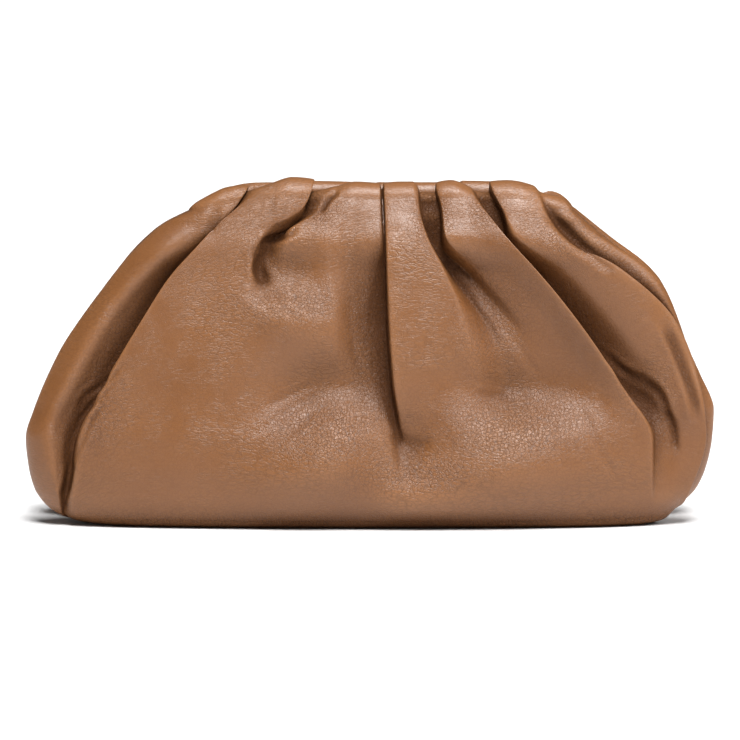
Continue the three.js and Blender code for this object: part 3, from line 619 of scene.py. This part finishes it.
class Shader:
    """A short way to build a node tree."""

    def __init__(self, name):
        self.material = bpy.data.materials.new(name)
        self.material.use_nodes = True
        self.tree = self.material.node_tree
        self.surface = self.tree.nodes["Principled BSDF"]

    def node(self, kind, **inputs):
        made = self.tree.nodes.new(kind)
        for name, value in inputs.items():
            self.set(made, name, value)
        return made

    def set(self, made, name, value):
        """Link a socket to an input, or set the input's own value. name is the input's name or number."""
        socket = made.inputs[name.replace("_", " ")] if isinstance(name, str) else made.inputs[name]
        if isinstance(value, bpy.types.NodeSocket):
            self.tree.links.new(value, socket)
        else:
            socket.default_value = value

    def math(self, operation, a, b=0.0):
        made = self.tree.nodes.new("ShaderNodeMath")
        made.operation = operation
        self.set(made, 0, a)
        self.set(made, 1, b)
        return made.outputs[0]

    def inverse(self, value):
        return self.math("SUBTRACT", 1.0, value)

    def span(self, value, low, high, to_low=0.0, to_high=1.0):
        """value from low..high brought to to_low..to_high, and held there."""
        made = self.tree.nodes.new("ShaderNodeMapRange")
        self.set(made, 0, value)
        for i, number in enumerate((low, high, to_low, to_high)):
            made.inputs[i + 1].default_value = number
        return made.outputs[0]

    def mix(self, share, a, b):
        made = self.tree.nodes.new("ShaderNodeMix")
        made.data_type = "RGBA"
        self.set(made, 0, share)
        self.set(made, 6, a)
        self.set(made, 7, b)
        return made.outputs[2]

    def bend(self, place, by, amount):
        """place moved by a colour texture, times amount."""
        made = self.tree.nodes.new("ShaderNodeVectorMath")
        made.operation = "MULTIPLY_ADD"
        self.set(made, 0, by)
        made.inputs[1].default_value = (amount, amount, amount)
        self.set(made, 2, place)
        return made.outputs[0]

    def join(self, across, up, across_scale, up_scale):
        """A flat place on the skin, with its own scale each way."""
        made = self.tree.nodes.new("ShaderNodeCombineXYZ")
        self.set(made, 0, self.math("MULTIPLY", across, across_scale))
        self.set(made, 1, self.math("MULTIPLY", up, up_scale))
        return made.outputs[0]

    def cracks(self, place, scale, high):
        """Flat-topped cells with thin valleys between them: 0 in the valleys, 1 on the cells."""
        cells = self.tree.nodes.new("ShaderNodeTexVoronoi")
        cells.feature = "DISTANCE_TO_EDGE"
        self.set(cells, "Vector", place)
        cells.inputs["Scale"].default_value = scale
        return self.span(cells.outputs["Distance"], 0.0, high)

    def ridges(self, place):
        """Long fine wrinkles: 0 in their valleys, 1 between them."""
        rough = self.node("ShaderNodeTexNoise", Vector=place, Scale=1.0, Detail=2.0, Distortion=0.6)
        off = self.math("ABSOLUTE", self.math("SUBTRACT", rough.outputs["Fac"], 0.5))
        return self.span(off, 0.0, RIDGE_VALLEY)

    def wrinkle_net(self, place):
        """A net of short wrinkles: 0 in its lines, 1 on the leather between them."""
        rough = self.node("ShaderNodeTexNoise", Vector=place, Scale=0.7, Detail=2.0)
        return self.cracks(self.bend(place, rough.outputs["Color"], NET_BEND), 1.0, NET_VALLEY)

    def attribute(self, name):
        made = self.tree.nodes.new("ShaderNodeAttribute")
        made.attribute_name = name
        return made.outputs["Fac"]


# Colours of the leather, among them a painted shade for the hollows and a painted highlight for the crests.
TAN_DEEP = (0.172, 0.066, 0.020, 1)
TAN_LIGHT = (0.205, 0.082, 0.026, 1)
TAN_CLOUD = (0.140, 0.053, 0.016, 1)
# Painted shade laid into hollows and between folds; also the dark of the grain lines.
SHADE_AND_GRAIN_BROWN = (0.050, 0.019, 0.008, 1)
NET_BROWN = (0.07, 0.027, 0.010, 1)
# Painted highlight laid on the crests of the folds.
CREST_HIGHLIGHT_TAN = (0.32, 0.142, 0.056, 1)
PALE_LINE = (0.33, 0.148, 0.060, 1)

# Patterns of the leather, in cells or waves for each metre, and how wide their valleys are.
DRIFT_SCALE = 38.0
CLOUD_SCALE = 150.0
WARP_SCALE = 420.0
WARP = 0.0013
GRAIN_SCALE = 820.0
GRAIN_VALLEY = 0.12
SMALL_GRAIN_SCALE = 1700.0
SMALL_GRAIN_VALLEY = 0.16
NET_SCALES = (330.0, 800.0)
NET_BEND = 1.3
NET_VALLEY = 0.16
LEVEL_LINE_SCALES = (190.0, 820.0)
UPRIGHT_LINE_SCALES = (900.0, 210.0)
RIDGE_VALLEY = 0.035

# Depths of the patterns in millimetres: on smooth leather, then at their strongest, in pebbled areas and where
# shade is painted into the hollows.
GRAIN_DEPTH = (0.014, 0.08)
SMALL_GRAIN_DEPTH = (0.012, 0.03)
NET_DEPTH = (0.006, 0.058)
LEVEL_LINE_DEPTH = 0.042
UPRIGHT_LINE_DEPTH = 0.10


def leather_material():
    look = Shader("tan_calf")
    place = look.node("ShaderNodeTexCoord").outputs["Object"]
    round_run = look.attribute("run_round")
    up_run = look.attribute("run_up")
    pebbled = look.attribute("pebbled")
    relief = look.attribute("relief")
    # Painted shade: hollows of the relief and places deep between folds get a darker colour and less gloss.
    sheltered = look.span(look.attribute("shelter"), 0.006, 0.09)
    painted_shade = look.math("MAXIMUM", look.span(relief, -0.1, -1.2, 0.0, 0.8), sheltered)
    # Painted shade together with pebbling: it sets how dark and how deep the grain lines are.
    shade_and_pebbling = look.math("MAXIMUM", painted_shade, pebbled)
    # Painted highlight: the crests of the folds get a lighter colour.
    crest = look.span(relief, 0.15, 0.9)

    drift = look.node("ShaderNodeTexNoise", Vector=place, Scale=DRIFT_SCALE, Detail=3.0, Roughness=0.5)
    drift = drift.outputs["Fac"]
    clouds = look.node("ShaderNodeTexNoise", Vector=place, Scale=CLOUD_SCALE, Detail=4.0, Roughness=0.6)
    clouds = clouds.outputs["Fac"]
    warp = look.node("ShaderNodeTexNoise", Vector=place, Scale=WARP_SCALE, Detail=2.0).outputs["Color"]
    bent = look.bend(place, warp, WARP)
    grain = look.cracks(bent, GRAIN_SCALE, GRAIN_VALLEY)
    small_grain = look.cracks(bent, SMALL_GRAIN_SCALE, SMALL_GRAIN_VALLEY)
    level_lines = look.ridges(look.join(round_run, up_run, *LEVEL_LINE_SCALES))
    upright_lines = look.ridges(look.join(round_run, up_run, *UPRIGHT_LINE_SCALES))
    net = look.wrinkle_net(look.join(round_run, up_run, *NET_SCALES))
    net_share = look.math("MAXIMUM", look.span(drift, 0.44, 0.6), look.math("MULTIPLY", pebbled, 0.7))
    level_share = look.math("MULTIPLY", look.span(clouds, 0.42, 0.62), look.inverse(painted_shade))
    upright_share = look.math("MAXIMUM", painted_shade, look.math("MULTIPLY", pebbled, 0.5))

    tan = look.mix(look.span(drift, 0.35, 0.65), TAN_DEEP, TAN_LIGHT)
    pale = look.math("MULTIPLY", look.inverse(level_lines), level_share)
    grain_lines = look.math("MULTIPLY", look.inverse(grain), look.span(shade_and_pebbling, 0.0, 1.0, 0.14, 0.65))
    net_lines = look.math("MULTIPLY", look.inverse(net), look.span(net_share, 0.0, 1.0, 0.05, 0.3))
    for share, colour in (
        (look.span(clouds, 0.3, 0.75, 0.0, 0.3), TAN_CLOUD),
        # Painted shade in the hollows.
        (look.math("MULTIPLY", painted_shade, 0.8), SHADE_AND_GRAIN_BROWN),
        # Painted highlight on the crests.
        (look.math("MULTIPLY", crest, 0.34), CREST_HIGHLIGHT_TAN),
        (grain_lines, SHADE_AND_GRAIN_BROWN),
        (net_lines, NET_BROWN),
        (look.math("MULTIPLY", pale, 0.14), PALE_LINE),
    ):
        tan = look.mix(share, tan, colour)
    look.set(look.surface, "Base Color", tan)
    look.set(look.surface, "Roughness", look.span(clouds, 0.3, 0.7, 0.33, 0.41))
    look.set(look.surface, "Specular IOR Level", look.span(painted_shade, 0.0, 1.0, 0.46, 0.08))

    height = 0.0
    for value, depth in (
        (grain, look.span(shade_and_pebbling, 0.0, 1.0, *GRAIN_DEPTH)),
        (small_grain, look.span(shade_and_pebbling, 0.0, 1.0, *SMALL_GRAIN_DEPTH)),
        (level_lines, look.math("MULTIPLY", level_share, LEVEL_LINE_DEPTH)),
        (net, look.span(net_share, 0.0, 1.0, *NET_DEPTH)),
        (upright_lines, look.math("MULTIPLY", upright_share, UPRIGHT_LINE_DEPTH)),
    ):
        height = look.math("ADD", height, look.math("MULTIPLY", value, depth))
    bump = look.node("ShaderNodeBump", Strength=1.0, Distance=MM, Height=height)
    look.set(look.surface, "Normal", bump.outputs[0])
    return look.material


def steel_material():
    look = Shader("satin_steel")
    place = look.node("ShaderNodeTexCoord").outputs["Object"]
    brushed = look.node("ShaderNodeTexNoise", Vector=place, Scale=900.0, Detail=3.0).outputs["Fac"]
    look.set(look.surface, "Base Color", (0.56, 0.55, 0.53, 1))
    look.set(look.surface, "Metallic", 1.0)
    look.set(look.surface, "Roughness", look.span(brushed, 0.3, 0.7, 0.26, 0.42))
    return look.material


# The studio, in metres, degrees and watts.
FLOOR_HALF = 40.0
FLOOR_GREY = (0.86, 0.86, 0.86, 1)
HORIZON_HALF = 0.03
HORIZON_LIGHT = 1.1
ROOM_LIGHT = 0.08
OVERHEAD_TURN = (23, 5)
OVERHEAD_POWER = 3.6
OVERHEAD_SPREAD = 30
GLEAM_TURN = (37, 7)
GLEAM_POWER = 1.6
GLEAM_SPREAD = 14
FRONT_PLACE = (0.2, -1.7, 0.16)
FRONT_SIZE = (0.85, 0.3)
FRONT_POWER = 2.0
SIDE_PLACE = (1.2, -0.5, 0.95)
SIDE_SIZE = (0.7, 0.7)
SIDE_POWER = 8.0


def pale_floor():
    mesh = bpy.data.meshes.new("floor")
    corners = [(x * FLOOR_HALF, y * FLOOR_HALF, 0) for x, y in ((-1, -1), (1, -1), (1, 1), (-1, 1))]
    mesh.from_pydata(corners, [], [(0, 1, 2, 3)])
    floor = bpy.data.objects.new("floor", mesh)
    bpy.context.scene.collection.objects.link(floor)
    pale = Shader("pale_floor")
    pale.set(pale.surface, "Base Color", FLOOR_GREY)
    pale.set(pale.surface, "Roughness", 0.9)
    pale.set(pale.surface, "Specular IOR Level", 0.0)
    mesh.materials.append(pale.material)


def backdrop():
    """A dim room with a bright band along the horizon."""
    world = bpy.data.worlds.new("studio")
    bpy.context.scene.world = world
    world.use_nodes = True
    tree = world.node_tree
    place = tree.nodes.new("ShaderNodeTexCoord")
    split = tree.nodes.new("ShaderNodeSeparateXYZ")
    level = tree.nodes.new("ShaderNodeMath")
    level.operation = "ABSOLUTE"
    strength = tree.nodes.new("ShaderNodeMapRange")
    for i, number in enumerate((HORIZON_HALF, HORIZON_HALF * 2, HORIZON_LIGHT, ROOM_LIGHT)):
        strength.inputs[i + 1].default_value = number
    light = tree.nodes["Background"]
    light.inputs["Color"].default_value = (1, 1, 1, 1)
    tree.links.new(place.outputs["Generated"], split.inputs[0])
    tree.links.new(split.outputs["Z"], level.inputs[0])
    tree.links.new(level.outputs[0], strength.inputs[0])
    tree.links.new(strength.outputs[0], light.inputs["Strength"])


def lamp(name, data):
    made = bpy.data.objects.new(name, data)
    bpy.context.scene.collection.objects.link(made)
    return made


def soft_sun(name, turn, spread, power):
    """A far, wide lamp: degrees it is turned forward and right from overhead, and how wide it looks."""
    data = bpy.data.lights.new(name, "SUN")
    data.energy = power
    data.angle = math.radians(spread)
    lamp(name, data).rotation_euler = (math.radians(turn[0]), math.radians(turn[1]), 0)


def light_box(name, place, aim, size, power):
    """A rectangular soft box at place, turned to aim."""
    data = bpy.data.lights.new(name, "AREA")
    data.shape = "RECTANGLE"
    data.size, data.size_y = size
    data.energy = power
    box = lamp(name, data)
    box.location = place
    box.rotation_euler = (Vector(aim) - Vector(place)).to_track_quat("-Z", "Y").to_euler()


def studio():
    pale_floor()
    backdrop()
    soft_sun("overhead", OVERHEAD_TURN, OVERHEAD_SPREAD, OVERHEAD_POWER)
    soft_sun("gleam", GLEAM_TURN, GLEAM_SPREAD, GLEAM_POWER)
    light_box("front_box", FRONT_PLACE, (0, 0, 0.04), FRONT_SIZE, FRONT_POWER)
    light_box("right_box", SIDE_PLACE, (0, 0, 0.05), SIDE_SIZE, SIDE_POWER)
    settings = bpy.context.scene.view_settings
    settings.view_transform = "Standard"
    settings.look = "None"
    settings.exposure = 0.0


# The camera: how wide a strip at the bag the picture shows, in metres, and where it stands.
PICTURE_WIDTH = 0.740 / 3.071
SENSOR_WIDTH = 36
CAMERA_DISTANCE = 1.18
CAMERA_RISE = math.radians(5)
CAMERA_AIM = (-0.0003, -0.02, 0.0515)


def camera():
    data = bpy.data.cameras.new("camera")
    data.sensor_width = SENSOR_WIDTH
    data.lens = SENSOR_WIDTH * CAMERA_DISTANCE / PICTURE_WIDTH
    away = Vector((0, -math.cos(CAMERA_RISE), math.sin(CAMERA_RISE)))
    made = bpy.data.objects.new("camera", data)
    made.location = Vector(CAMERA_AIM) + away * CAMERA_DISTANCE
    made.rotation_euler = (-away).to_track_quat("-Z", "Y").to_euler()
    bpy.context.scene.collection.objects.link(made)
    bpy.context.scene.camera = made


leather = leather_piece()
leather.data.materials.append(leather_material())
steel = steel_material()
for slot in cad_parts["closure_frame"].material_slots:
    slot.material = steel
studio()
camera()
